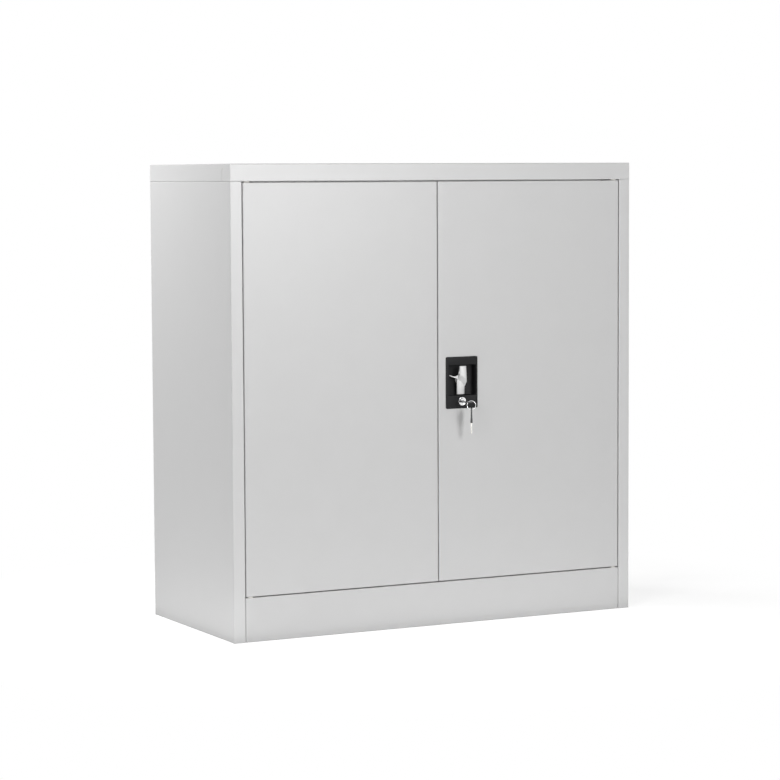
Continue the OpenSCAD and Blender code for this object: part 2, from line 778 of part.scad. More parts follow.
side_panel(false);  // side_panel_left
side_panel(true);  // side_panel_right
top_tray();
base_tray();
back_panel(false);  // back_panel_left
back_panel(true);  // back_panel_right
deck_stiffener();
upright(post_y[0], false);  // upright_front_left
upright(post_y[1], false);  // upright_rear_left
upright(post_y[0], true);  // upright_front_right
upright(post_y[1], true);  // upright_rear_right
shelf(shelf_1_z);  // shelf_lower
shelf(shelf_2_z);  // shelf_upper
shelf_clips(shelf_1_z);  // shelf_clips_lower
shelf_clips(shelf_2_z);  // shelf_clips_upper
hinge_plates();
hinge_washers();
door_buffers();
back_screws();
left_door();
door_stiffener(false);  // left_door_stiffener
hinge_pins(false);  // left_hinge_pins
right_door();
door_stiffener(true);  // right_door_stiffener
hinge_pins(true);  // right_hinge_pins
lock_cup();
lock_cup_frame();
cup_screws();
rod_guide_upper();
rod_guide_lower();
guide_screws();
lock_barrel();
barrel_nut();
handle();
spindle();
crank_plate();
spindle_screw();
rod_upper();
rod_lower();
lock_plug();
lock_cam();
cam_screw();
key_blade();
key_bow();
key_ring();
spare_key_blade();
spare_key_bow();
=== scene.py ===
import json
import math

import bmesh
import bpy
from bpy.props import FloatProperty, FloatVectorProperty, IntProperty, PointerProperty
from mathutils import Matrix, Vector


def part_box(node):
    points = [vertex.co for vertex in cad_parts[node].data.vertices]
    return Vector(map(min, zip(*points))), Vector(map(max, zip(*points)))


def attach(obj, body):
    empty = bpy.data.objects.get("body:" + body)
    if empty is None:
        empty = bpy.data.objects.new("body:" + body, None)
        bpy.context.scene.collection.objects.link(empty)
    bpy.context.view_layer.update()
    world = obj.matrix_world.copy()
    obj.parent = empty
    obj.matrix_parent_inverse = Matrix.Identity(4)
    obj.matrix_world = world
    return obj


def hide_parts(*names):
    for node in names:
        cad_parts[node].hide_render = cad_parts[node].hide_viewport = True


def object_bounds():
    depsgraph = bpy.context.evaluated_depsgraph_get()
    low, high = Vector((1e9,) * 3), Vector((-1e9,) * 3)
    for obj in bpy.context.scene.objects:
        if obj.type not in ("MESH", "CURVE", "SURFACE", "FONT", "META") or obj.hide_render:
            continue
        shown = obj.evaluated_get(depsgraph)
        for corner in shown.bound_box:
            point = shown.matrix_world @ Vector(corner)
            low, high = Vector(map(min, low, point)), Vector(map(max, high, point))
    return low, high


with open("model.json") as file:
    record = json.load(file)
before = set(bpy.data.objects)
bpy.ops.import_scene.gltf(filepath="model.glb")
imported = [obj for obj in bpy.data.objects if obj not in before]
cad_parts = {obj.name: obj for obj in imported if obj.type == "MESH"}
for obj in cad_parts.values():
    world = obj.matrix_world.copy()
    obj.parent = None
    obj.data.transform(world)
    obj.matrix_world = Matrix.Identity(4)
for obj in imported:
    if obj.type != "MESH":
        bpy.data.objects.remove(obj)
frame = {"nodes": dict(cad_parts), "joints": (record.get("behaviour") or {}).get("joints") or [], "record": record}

bl_info = {
    "name": "Tool Cabinet Looks",
    "version": (1, 0, 0),
    "blender": (4, 5, 0),
    "location": "3D Viewport > Sidebar > Tool Cabinet",
    "description": "Finishes, lock parts, keys and studio for a half-height steel tool cabinet",
    "category": "Object",
}

MM = 0.001
UP = Vector((0, 0, 1))
CAD_LO, CAD_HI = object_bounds()
JOINTS = {joint["name"]: joint for joint in frame["joints"]}
HANDLE_AXIS = Vector(JOINTS["handle_turn"]["pos_m"])
KEY_AXIS = Vector(JOINTS["key_turn"]["pos_m"])
SKIN_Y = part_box("right_door")[0].y
CUP_SCREW_R = 4.3 * MM
LAP = 0.4 * MM  # how far joined solids reach into each other
AXIS_TURNS = {"X": (0, math.pi / 2, 0), "Y": (-math.pi / 2, 0, 0), "Z": (0, 0, 0)}


# --- Sizes and colours that a user would change ----------------------------------


def length(name, description, default):
    """A size in metres"""
    return FloatProperty(
        name=name, description=description, default=default, min=0.0, unit="LENGTH", precision=5
    )


def share(name, description, default):
    """A number from 0 to 1"""
    return FloatProperty(
        name=name, description=description, default=default, min=0.0, max=1.0, subtype="FACTOR"
    )


def angle(name, description, degrees):
    """An angle, whose default is given in degrees"""
    return FloatProperty(
        name=name, description=description, default=math.radians(degrees), unit="ROTATION"
    )


def colour(name, description, default):
    """A linear colour"""
    return FloatVectorProperty(
        name=name, description=description, default=default, min=0, max=1, size=3, subtype="COLOR"
    )


def power(name, description, default):
    """The power of a lamp in watts"""
    return FloatProperty(name=name, description=description, default=default, min=0.0, unit="POWER")


class CoatSettings(bpy.types.PropertyGroup):
    """The powder coat on the folded sheet"""

    tint: colour("Coat colour", "Colour of the powder coat", (0.6, 0.6, 0.6))
    # The pale coat is the grey coat made lighter for the sides and the top: painted light, so that their stiles
    # and rail come out brighter than the doors.
    painted_light_coat: colour("Pale coat colour", "Coat of the sides and the top, lighter as painted light", (0.63, 0.63, 0.63))
    roughness: share("Coat roughness", "Roughness of the powder coat", 0.38)
    ior: FloatProperty(
        name="Coat IOR", description="Refractive index of the powder coat", default=1.7, min=1.0
    )
    peel_size: length("Orange peel size", "Distance between two humps of the coat", 1.8 * MM)
    peel_depth: length("Orange peel depth", "Height of a hump of the coat", 0.014 * MM)
    wave_size: length("Sheet wave size", "Length of a slight wave in a sheet", 170 * MM)
    wave_depth: length("Sheet wave depth", "Height of a slight wave in a sheet", 0.5 * MM)


class MetalSettings(bpy.types.PropertyGroup):
    """The bare and plated metals"""

    zinc: colour("Zinc colour", "Colour of bright zinc plate", (0.6, 0.63, 0.66))
    steel: colour("Steel colour", "Colour of plain steel", (0.5, 0.5, 0.51))
    chrome: colour("Chrome colour", "Colour of polished chrome", (0.86, 0.865, 0.87))
    silver: colour("Silver lacquer colour", "Colour of the handle's lacquer", (0.74, 0.74, 0.74))
    nickel: colour("Nickel colour", "Colour of the keys' nickel plate", (0.8, 0.78, 0.74))


class MouldingSettings(bpy.types.PropertyGroup):
    """The moulded plastics and the rubber"""

    black: colour("Black plastic", "Colour of the lock plate", (0.008, 0.008, 0.009))
    bow: colour("Key bow plastic", "Colour of the keys' bows", (0.085, 0.085, 0.088))
    nylon: colour("Nylon", "Colour of washers and rod guides", (0.78, 0.77, 0.72))
    rubber: colour("Rubber", "Colour of the door buffers", (0.03, 0.03, 0.032))
    grain_size: length("Grain size", "Distance between two pits of the moulded grain", 0.45 * MM)
    grain_depth: length("Grain depth", "Depth of the moulded grain", 0.03 * MM)


class LockPlateSettings(bpy.types.PropertyGroup):
    """The black plate with its finger recess"""

    corner_r: length("Corner radius", "Radius of the plate's corners", 3 * MM)
    recess_w: length("Recess width", "Width of the finger recess", 62.2 * MM)
    recess_h: length("Recess height", "Height of the finger recess", 61.6 * MM)
    recess_depth: length("Recess depth", "Depth of the recess behind the plate's face", 16.6 * MM)
    scoop: length("Scoop", "Size of the hollow at the recess's left side", 10 * MM)
    fillet: length("Fillet", "Rounding between the recess's walls and its floor", 2.4 * MM)
    wall: length("Wall", "Thickness of the cup's walls", 1.4 * MM)
    floor_t: length("Floor", "Thickness of the cup's floor", 2 * MM)
    cup_r: length("Cup corner radius", "Radius of the cup's outer corners", 4 * MM)
    rim: length("Rim", "Rounding of the plate's edges", 0.5 * MM)
    hub_seat: length("Hub seat", "Radius of the raised ring behind the handle's hub", 12 * MM)
    hub_hole: length("Hub hole", "Radius of the hole for the handle's hub", 7.1 * MM)
    lock_seat: length("Lock seat", "Radius of the block round the lock barrel", 11 * MM)
    lock_hole: length("Lock hole", "Radius of the hole for the lock barrel", 7.5 * MM)
    boss_r: length("Boss radius", "Radius of a screw boss", 3 * MM)
    boss_l: length("Boss length", "Length of a screw boss behind the door's skin", 2.1 * MM)
    pilot_r: length("Pilot radius", "Radius of the hole in a screw boss", 1.4 * MM)


class HandleSettings(bpy.types.PropertyGroup):
    """The cast turn handle"""

    width: length("Width", "Width across an arm", 16.5 * MM)
    reach: length("Length", "Length over both arms", 57 * MM)
    thick: length("Thickness", "Thickness of an arm", 5 * MM)
    sink: length("Sink", "Depth of the lower arm's face behind the door's skin", 2.5 * MM)
    proud: length("Step", "How far the upper arm stands in front of the lower", 9.8 * MM)
    rise: length("Rise", "Width of the step's slope", 8.3 * MM)
    begin: length("Step's begin", "How far below the handle's axis the slope begins", 2.8 * MM)
    bury: length("Step's root", "How far the slope goes on behind the lower arm's face", 3 * MM)
    lean: angle("Lean", "How far the upper arm leans back", 4)
    inset: length("Inset", "How much narrower the upper arm is on the spur's side", 1.6 * MM)
    slant: angle("Slant", "Lean of the step", 42)
    crown: length("Crown", "Radius of the arms' rounded fronts", 14 * MM)
    edge: length("Edge", "Rounding of the arms' edges", 0.9 * MM)
    spur: length("Spur", "Length of the thumb spur from the handle's axis", 26 * MM)
    knob_r: length("Knob radius", "Radius of the knob beside the upper arm", 2 * MM)
    knob_up: length("Knob height", "Height of the knob above the handle's axis", 15.5 * MM)
    hub_r: length("Hub radius", "Radius of the hub in the lock plate", 7 * MM)
    shoulder_r: length("Shoulder radius", "Radius of the hub in front of the plate", 8.1 * MM)
    shoulder: length("Shoulder depth", "Depth of the shoulder behind the door's skin", 14.6 * MM)


class BarrelSettings(bpy.types.PropertyGroup):
    """The lock barrel's bezel"""

    bezel: length("Bezel", "Width of the bezel round the sunk face", 1.6 * MM)
    rim: length("Rim", "Rounding of the bezel's edge", 0.3 * MM)
    sink: length("Sink", "Depth of the face inside the bezel", 0.5 * MM)
    step: length("Step", "How much narrower the barrel is behind the plate's face", 0.9 * MM)
    plug_hole: length("Plug hole", "Radius of the hole for the plug", 5.58 * MM)


class KeySettings(bpy.types.PropertyGroup):
    """A key with a moulded bow"""

    bow_r: length("Bow radius", "Radius of the bow's round end", 9.5 * MM)
    bow_l: length("Bow length", "Length of the bow", 30 * MM)
    thin: length("Thin end", "Thickness of the bow at its hole", 2.6 * MM)
    thick: length("Thick end", "Thickness of the bow at the blade", 4.4 * MM)
    neck: length("Neck", "Width of the bow at the blade", 10 * MM)
    hole_r: length("Hole radius", "Radius of the bow's hole", 3.5 * MM)
    hole_off: length("Hole offset", "Distance of the hole from the round end's middle", 4 * MM)
    border: length("Border", "Width of the raised border round the bow's faces", 1.4 * MM)
    panel: length("Panel depth", "Depth of the bow's faces inside their border", 0.35 * MM)
    blade_w: length("Blade width", "Width of the blade", 7.2 * MM)
    blade_t: length("Blade thickness", "Thickness of the blade", 2.2 * MM)
    blade_l: length("Blade length", "Length of the blade in front of the bow", 22 * MM)
    tang: length("Tang", "Length of the blade inside the bow", 7.9 * MM)
    groove: length("Groove", "Depth of the groove in each side of the blade", 0.5 * MM)
    first_cut: length("First cut", "Distance of the first cut from the bow", 5 * MM)
    cut: length("Cut", "Size of a cut in the blade's edge", 2 * MM)
    cut_pitch: length("Cut pitch", "Distance between two cuts", 4 * MM)


class RingSettings(bpy.types.PropertyGroup):
    """The split ring"""

    radius: length("Radius", "Mean radius of the ring", 8.6 * MM)
    wire: length("Wire", "Half the wire's size across the ring", 0.62 * MM)
    flat: share("Flatness", "Height of the flattened wire to its width", 0.68)
    pitch: length("Pitch", "Distance between the ring's two turns", 1.0 * MM)
    turns: angle("Turns", "How far the wire is wound", 712)
    steps: IntProperty(name="Steps", description="Segments in the two turns", default=144, min=48)


class ScrewSettings(bpy.types.PropertyGroup):
    """Pan heads with a cross recess"""

    recess: length("Recess width", "Greatest width across the cross recess", 4.4 * MM)
    dome: share("Dome", "Height of a head's rounding to the head's height", 0.75)
    pan: share("Pan", "Width of a head with a washer's rim to the rim's width", 0.78)
    rim: length("Washer's rim", "Thickness of the washer's rim", 0.6 * MM)
    rows: IntProperty(name="Rows", description="Screws at each side of the back", default=5, min=2)


class BufferSettings(bpy.types.PropertyGroup):
    """The rubber buffers on the door stop"""

    inner: length("Inner place", "Distance of the inner buffers from the middle", 40 * MM)
    dome: length("Dome", "Rounding of a buffer's front", 0.9 * MM)


class StageSettings(bpy.types.PropertyGroup):
    """The camera, the lamps and the white floor"""

    camera_at: FloatVectorProperty(
        name="Camera place",
        description="Where the camera stands",
        default=(-2.531, -4.681, 0.9),
        subtype="TRANSLATION",
    )
    yaw: angle("Yaw", "How far the camera looks to the right", 27.41)
    pitch: angle("Pitch", "How far the camera looks down", 4.58)
    roll: angle("Roll", "How far the camera leans", -0.286)
    lens: FloatProperty(name="Lens", description="Focal length", default=123.26, unit="CAMERA")
    world: share("World", "Strength of the light from all round", 0.1)
    front: power("Front lamp", "Power of the lamp in front of the doors", 38.7)
    left: power("Left lamp", "Power of the lamp in front of the left side", 33.6)
    side: power("Side lamp", "Power of the small lamp beside the left side's top", 3.4)
    back: power("Back lamp", "Power of the lamp behind the cabinet", 14.0)
    bounce: power("Floor bounce", "Power from a square metre of the floor at the foot", 1.5)
    lift: share("Floor lift", "Light that keeps the floor near the cabinet white", 0.66)
    floor: colour("Floor", "Colour of the floor", (0.9, 0.9, 0.9))


SETTINGS = {
    "cabinet_coat": CoatSettings,
    "cabinet_metal": MetalSettings,
    "cabinet_moulding": MouldingSettings,
    "cabinet_lock_plate": LockPlateSettings,
    "cabinet_handle": HandleSettings,
    "cabinet_barrel": BarrelSettings,
    "cabinet_key": KeySettings,
    "cabinet_ring": RingSettings,
    "cabinet_screw": ScrewSettings,
    "cabinet_buffer": BufferSettings,
    "cabinet_stage": StageSettings,
}


# --- Finishes --------------------------------------------------------------------


class Value:
    """A shader socket that adds Math nodes when it is used in a sum"""

    def __init__(self, finish, socket):
        self.finish = finish
        self.socket = socket

    def math(self, operation, *others):
        inputs = dict(enumerate((self, *others)))
        return self.finish.node("ShaderNodeMath", {"operation": operation}, inputs)

    def __add__(self, other):
        return self.math("ADD", other)

    def __mul__(self, other):
        return self.math("MULTIPLY", other)

    def __rsub__(self, other):
        return self.finish.node("ShaderNodeMath", {"operation": "SUBTRACT"}, {0: other, 1: self})

    __radd__ = __add__
    __rmul__ = __mul__


class Finish:
    """A new material and the method that adds its nodes"""

    def __init__(self, name):
        self.material = bpy.data.materials.new(name)
        self.material.use_nodes = True
        self.tree = self.material.node_tree
        self.tree.nodes.clear()
        self.place = self.node("ShaderNodeTexCoord", {}, {}, "Object")

    def node(self, kind, settings, inputs, output=0):
        """Adds a node, sets its settings and then the values or links of its sockets"""
        made = self.tree.nodes.new(kind)
        for name, setting in settings.items():
            setattr(made, name, setting)
        for name, value in inputs.items():
            if isinstance(value, Value):
                self.tree.links.new(value.socket, made.inputs[name])
            else:
                made.inputs[name].default_value = value
        return None if output is None else Value(self, made.outputs[output])

    def noise(self, size, detail=2.0, stretch=None):
        """Noise whose humps are about one size apart"""
        place = self.place
        if stretch:
            place = self.node("ShaderNodeMapping", {}, {"Vector": place, "Scale": stretch})
        inputs = {"Vector": place, "Scale": 1 / size, "Detail": detail}
        return self.node("ShaderNodeTexNoise", {}, inputs)

    def between(self, value, low, high):
        """A smooth step from 0 at low to 1 at high"""
        steps = {"Value": value, "From Min": low, "From Max": high}
        return self.node("ShaderNodeMapRange", {"interpolation_type": "SMOOTHSTEP"}, steps)

    def blend(self, mask, first, second):
        """A colour that goes from the first to the second as the mask goes from 0 to 1"""
        colours = {0: mask, 6: opaque(first), 7: opaque(second)}
        return self.node("ShaderNodeMix", {"data_type": "RGBA"}, colours, 2)

    def bump(self, height, depth, below=None):
        """A normal from a height of 0 to 1 and a real depth"""
        inputs = {"Height": height, "Distance": depth, "Strength": 1.0}
        if below:
            inputs["Normal"] = below
        return self.node("ShaderNodeBump", {}, inputs)

    def coordinate(self, axis):
        """The piece's X, Y or Z"""
        return self.node("ShaderNodeSeparateXYZ", {}, {0: self.place}, axis)

    def show(self, shader):
        """Makes a shader the surface of the material"""
        self.node("ShaderNodeOutputMaterial", {}, {"Surface": shader}, None)
        return self.material

    def principled(self, inputs):
        """Makes a Principled shader the surface of the material"""
        return self.show(self.node("ShaderNodeBsdfPrincipled", {}, inputs))


def opaque(value):
    """A colour with its alpha, or a socket as it is"""
    return value if isinstance(value, Value) else (*value, 1.0)


def shade(tint, factor):
    """A darker or a brighter colour"""
    return tuple(min(1.0, part * factor) for part in tint)


def coat_finish(name, tint, settings):
    """Satin powder coat: orange peel, slight mottling and the sheet's own waves"""
    finish = Finish(name)
    mottle = finish.noise(60 * MM, 3.0)
    speck = finish.noise(0.7 * MM, 1.0)
    peel = finish.noise(settings.peel_size, 1.5)
    waves = finish.noise(settings.wave_size, 0.0)
    # Darker by up to about 2.5 per cent, and rougher, in random patches in the lowest 22 mm above the floor.
    foot = 1 - finish.between(finish.coordinate("Z"), 0.0, 22 * MM)
    foot_patches = foot * finish.between(mottle, 0.35, 0.65)
    mask = mottle * 0.7 + speck * 0.3
    grey = finish.blend(mask, shade(tint, 0.975), shade(tint, 1.025))
    foot_darkened = finish.blend(foot_patches * 0.25, grey, shade(tint, 0.9))
    waved = finish.bump(waves, settings.wave_depth)
    return finish.principled({
        "Base Color": foot_darkened,
        "Roughness": settings.roughness - 0.04 + mottle * 0.06 + foot_patches * 0.08,
        "IOR": settings.ior,
        "Normal": finish.bump(peel, settings.peel_depth, waved),
    })


def zinc_finish(tint):
    """Bright zinc plate: cloudy passivation and fine drawn lines"""
    finish = Finish("zinc_plate")
    cloud = finish.noise(14 * MM, 4.0)
    lines = finish.noise(0.5 * MM, 2.0, (1.0, 1.0, 0.06))
    warmer = (tint[0] * 1.12, tint[1] * 1.08, tint[2] * 0.96)
    return finish.principled({
        "Base Color": finish.blend(finish.between(cloud, 0.35, 0.7), tint, warmer),
        "Metallic": 1.0,
        "Roughness": cloud * 0.14 + lines * 0.14 + 0.2,
        "Normal": finish.bump(lines, 0.006 * MM),
    })


def steel_finish(tint):
    """Plain turned and cut steel with a thin oil film"""
    finish = Finish("plain_steel")
    film = finish.noise(9 * MM, 3.0)
    marks = finish.noise(0.35 * MM, 2.0, (1.0, 1.0, 0.1))
    return finish.principled({
        "Base Color": finish.blend(film, shade(tint, 0.82), shade(tint, 1.1)),
        "Metallic": 1.0,
        "Roughness": film * 0.12 + marks * 0.16 + 0.22,
        "Normal": finish.bump(marks, 0.008 * MM),
    })


def chrome_finish(name, tint, roughness, metallic=1.0):
    """Chrome or silver lacquer over a casting: soft flow in the surface and hairline scratches"""
    finish = Finish(name)
    flow = finish.noise(7 * MM, 1.0)
    hair = finish.noise(0.25 * MM, 1.0, (1.0, 1.0, 0.04))
    scratched = finish.between(hair, 0.66, 0.74)
    return finish.principled({
        "Base Color": finish.blend(flow, shade(tint, 0.97), tint),
        "Metallic": metallic,
        "Roughness": flow * 0.05 + scratched * 0.1 + roughness,
        "Normal": finish.bump(flow, 0.05 * MM),
    })


def nickel_finish(tint):
    """Nickel plate with the marks of key cutting"""
    finish = Finish("nickel_plate")
    wear = finish.noise(4 * MM, 3.0)
    cuts = finish.noise(0.2 * MM, 1.0)
    return finish.principled({
        "Base Color": finish.blend(wear, shade(tint, 0.9), shade(tint, 1.05)),
        "Metallic": 1.0,
        "Roughness": wear * 0.12 + cuts * 0.08 + 0.16,
        "Normal": finish.bump(cuts, 0.004 * MM),
    })


def moulded_finish(name, tint, settings, roughness, gloss=0.5):
    """Moulded plastic: a fine pitted grain and slight handling shine"""
    finish = Finish(name)
    grain = finish.noise(settings.grain_size, 2.0)
    handled = finish.noise(16 * MM, 2.0)
    mask = grain * 0.5 + handled * 0.5
    return finish.principled({
        "Base Color": finish.blend(mask, shade(tint, 0.88), shade(tint, 1.12)),
        "Roughness": roughness - 0.06 + handled * 0.12,
        "Specular IOR Level": gloss,
        "Normal": finish.bump(finish.between(grain, 0.3, 0.7), settings.grain_depth),
    })


def dress(nodes, material):
    """Gives CAD nodes a material"""
    for node in nodes:
        for slot in frame["nodes"][node].material_slots:
            slot.material = material


def material_of(node):
    """The material that a CAD node was given"""
    return frame["nodes"][node].material_slots[0].material


def nodes_of(slot_name):
    """The CAD nodes whose finish the record gives as one slot"""
    rows = frame["record"]["subparts"]
    return [row["node"] for row in rows if row["material_slot"] == slot_name]


# --- Modelling -------------------------------------------------------------------


def activate(piece):
    """Makes a piece the only selected one"""
    bpy.ops.object.select_all(action="DESELECT")
    piece.select_set(True)
    bpy.context.view_layer.objects.active = piece


def apply_place(piece):
    """Moves a piece's place, turn and scale into its mesh"""
    activate(piece)
    bpy.ops.object.transform_apply(location=True, rotation=True, scale=True)
    return piece


def box(lo, hi):
    """A box between two corners"""
    lo, hi = Vector(lo), Vector(hi)
    bpy.ops.object.select_all(action="DESELECT")
    bpy.ops.mesh.primitive_cube_add(size=1, location=(lo + hi) / 2, scale=hi - lo)
    return apply_place(bpy.context.object)


def bar(axis, centre, radius, start, end, vertices=64):
    """A round bar along an axis, from start to end on that axis, through a centre"""
    at = Vector(centre)
    at["XYZ".index(axis)] = (start + end) / 2
    bpy.ops.object.select_all(action="DESELECT")
    bpy.ops.mesh.primitive_cylinder_add(
        vertices=vertices, radius=radius, depth=end - start, location=at, rotation=AXIS_TURNS[axis]
    )
    return apply_place(bpy.context.object)


def pick(piece, kind, test):
    """Enters edit mode with the faces, edges or vertices that pass a test selected"""
    activate(piece)
    bpy.ops.object.mode_set(mode="EDIT")
    bpy.ops.mesh.select_mode(type=kind)
    bpy.ops.mesh.select_all(action="DESELECT")
    mesh = bmesh.from_edit_mesh(piece.data)
    elements = {"FACE": mesh.faces, "EDGE": mesh.edges, "VERT": mesh.verts}[kind]
    for element in elements:
        if test(element):
            element.select_set(True)
    bmesh.update_edit_mesh(piece.data)


def done():
    """Leaves edit mode"""
    bpy.ops.object.mode_set(mode="OBJECT")


def round_off(piece, kind, test, radius, segments):
    """Rounds the edges, or the faces' edges, that pass a test"""
    pick(piece, kind, test)
    bpy.ops.mesh.bevel(offset=radius, segments=segments, affect="EDGES")
    done()


def shift(piece, kind, test, way):
    """Moves what passes a test"""
    pick(piece, kind, test)
    bpy.ops.transform.translate(value=way)
    done()


def divide(piece, axis, place):
    """Cuts a piece's faces along a plane across an axis, and keeps both sides"""
    across = [0, 0, 0]
    across["XYZ".index(axis)] = 1
    pick(piece, "FACE", lambda face: True)
    bpy.ops.mesh.bisect(plane_co=[place * part for part in across], plane_no=across)
    done()


def smooth(piece, limit=math.radians(32)):
    """Shades a piece smooth, apart from edges sharper than a limit"""
    activate(piece)
    bpy.ops.object.shade_smooth_by_angle(angle=limit)


def runs_along(axis, *places):
    """A test for straight edges along an axis, near given places or anywhere"""
    axis = "XYZ".index(axis)

    def test(edge):
        a, b = (vertex.co for vertex in edge.verts)
        across = [i for i in range(3) if i != axis]
        if any(abs(a[i] - b[i]) > 1e-6 for i in across) or abs(a[axis] - b[axis]) < 1e-6:
            return False
        return not places or any(all(abs(a[i] - p[i]) < 2e-5 for i in across) for p in places)

    return test


def runs_through(x, z):
    """A test for the vertices of the line along Y through a place"""
    return lambda vertex: abs(vertex.co.x - x) < 1e-6 and abs(vertex.co.z - z) < 1e-6


def faces_towards(direction, limit=None):
    """A test for faces that look in one direction, past a limit along it"""
    direction = Vector(direction)

    def test(face):
        if face.normal.dot(direction) < 0.99:
            return False
        return limit is None or face.calc_center_median().dot(direction) > limit

    return test


def apply_modifier(piece, kind, **settings):
    """Adds a modifier and applies it"""
    modifier = piece.modifiers.new(kind.lower(), kind)
    for name, setting in settings.items():
        setattr(modifier, name, setting)
    activate(piece)
    bpy.ops.object.modifier_apply(modifier=modifier.name)


def combine(piece, tool, operation):
    """Joins another solid to a piece, or cuts it out, and removes it"""
    apply_modifier(piece, "BOOLEAN", operation=operation, object=tool, solver="EXACT")
    if not piece.data.polygons:
        raise RuntimeError(f"nothing is left of {piece.name} after {operation}")
    bpy.data.objects.remove(tool)
    return piece


def soften(piece, width, segments=3, limit=math.radians(32)):
    """Rounds a piece's edges that are sharper than a limit and smooths its curves"""
    apply_modifier(
        piece, "BEVEL", width=width, segments=segments, limit_method="ANGLE", angle_limit=limit
    )
    smooth(piece, limit)


def clean(piece, gap=1e-6):
    """Merges vertices closer than a gap, fills a lost sliver and turns all faces outwards"""
    pick(piece, "VERT", lambda vertex: True)
    bpy.ops.mesh.remove_doubles(threshold=gap)
    bpy.ops.mesh.fill_holes(sides=4)
    bpy.ops.mesh.normals_make_consistent(inside=False)
    done()


def finish_piece(piece, name, body, slot, material, *replaced):
    """Names a piece, gives it its material and puts it on its body"""
    piece.name = name
    piece.data.name = name
    piece.data.materials.clear()
    piece.data.materials.append(material)
    apply_place(piece)
    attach(piece, body)
    if replaced:
        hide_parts(*replaced)


def copy_of(piece):
    """A copy with its own mesh"""
    twin = piece.copy()
    twin.data = piece.data.copy()
    bpy.context.scene.collection.objects.link(twin)
    return twin


def join_pieces(pieces):
    """Makes one piece of several"""
    for piece in pieces:
        apply_place(piece)
    activate(pieces[0])
    for piece in pieces:
        piece.select_set(True)
    bpy.ops.object.join()
    return pieces[0]


# --- Operators -------------------------------------------------------------------


class CABINET_OT_coat(bpy.types.Operator):
    """Coat the folded sheet parts"""

    bl_idname = "cabinet.coat"
    bl_label = "Powder coat"

    def execute(self, context):
        coat = context.scene.cabinet_coat
        dress(nodes_of("grey_coat"), coat_finish("powder_coat", coat.tint, coat))
        # The sides and the top get a lighter copy of the coat: painted light that brightens their stiles and rail
        # beside the doors.
        painted_light_coat = coat_finish("powder_coat_painted_light", coat.painted_light_coat, coat)
        dress(("side_panel_left", "side_panel_right", "top_tray"), painted_light_coat)
        return {"FINISHED"}


class CABINET_OT_metal(bpy.types.Operator):
    """Plate the zinc, steel and chrome parts"""

    bl_idname = "cabinet.metal"
    bl_label = "Metal finishes"

    def execute(self, context):
        metal = context.scene.cabinet_metal
        dress(nodes_of("zinc"), zinc_finish(metal.zinc))
        dress(nodes_of("steel"), steel_finish(metal.steel))
        dress(nodes_of("chrome"), chrome_finish("chrome_plate", metal.chrome, 0.07))
        dress(nodes_of("key_steel"), nickel_finish(metal.nickel))
        return {"FINISHED"}


class CABINET_OT_moulding(bpy.types.Operator):
    """Finish the nylon, rubber and black plastic parts"""

    bl_idname = "cabinet.moulding"
    bl_label = "Moulded finishes"

    def execute(self, context):
        moulding = context.scene.cabinet_moulding
        for slot, tint, roughness, gloss in (
            ("nylon", moulding.nylon, 0.5, 0.5),
            ("buffer_rubber", moulding.rubber, 0.75, 0.3),
            ("black_plastic", moulding.black, 0.52, 0.2),
        ):
            dress(nodes_of(slot), moulded_finish(slot, tint, moulding, roughness, gloss))
        return {"FINISHED"}


def screw_places(node, radius, across=2, up=2):
    """The tops of a node's screws, whose heads look towards +Y and fill its box evenly"""
    lo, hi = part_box(node)
    first = Vector((lo.x + radius, hi.y, lo.z + radius))
    step_x = (hi.x - lo.x - 2 * radius) / max(across - 1, 1)
    step_z = (hi.z - lo.z - 2 * radius) / max(up - 1, 1)
    return [
        first + Vector((column * step_x, 0, row * step_z))
        for column in range(across)
        for row in range(up)
    ]


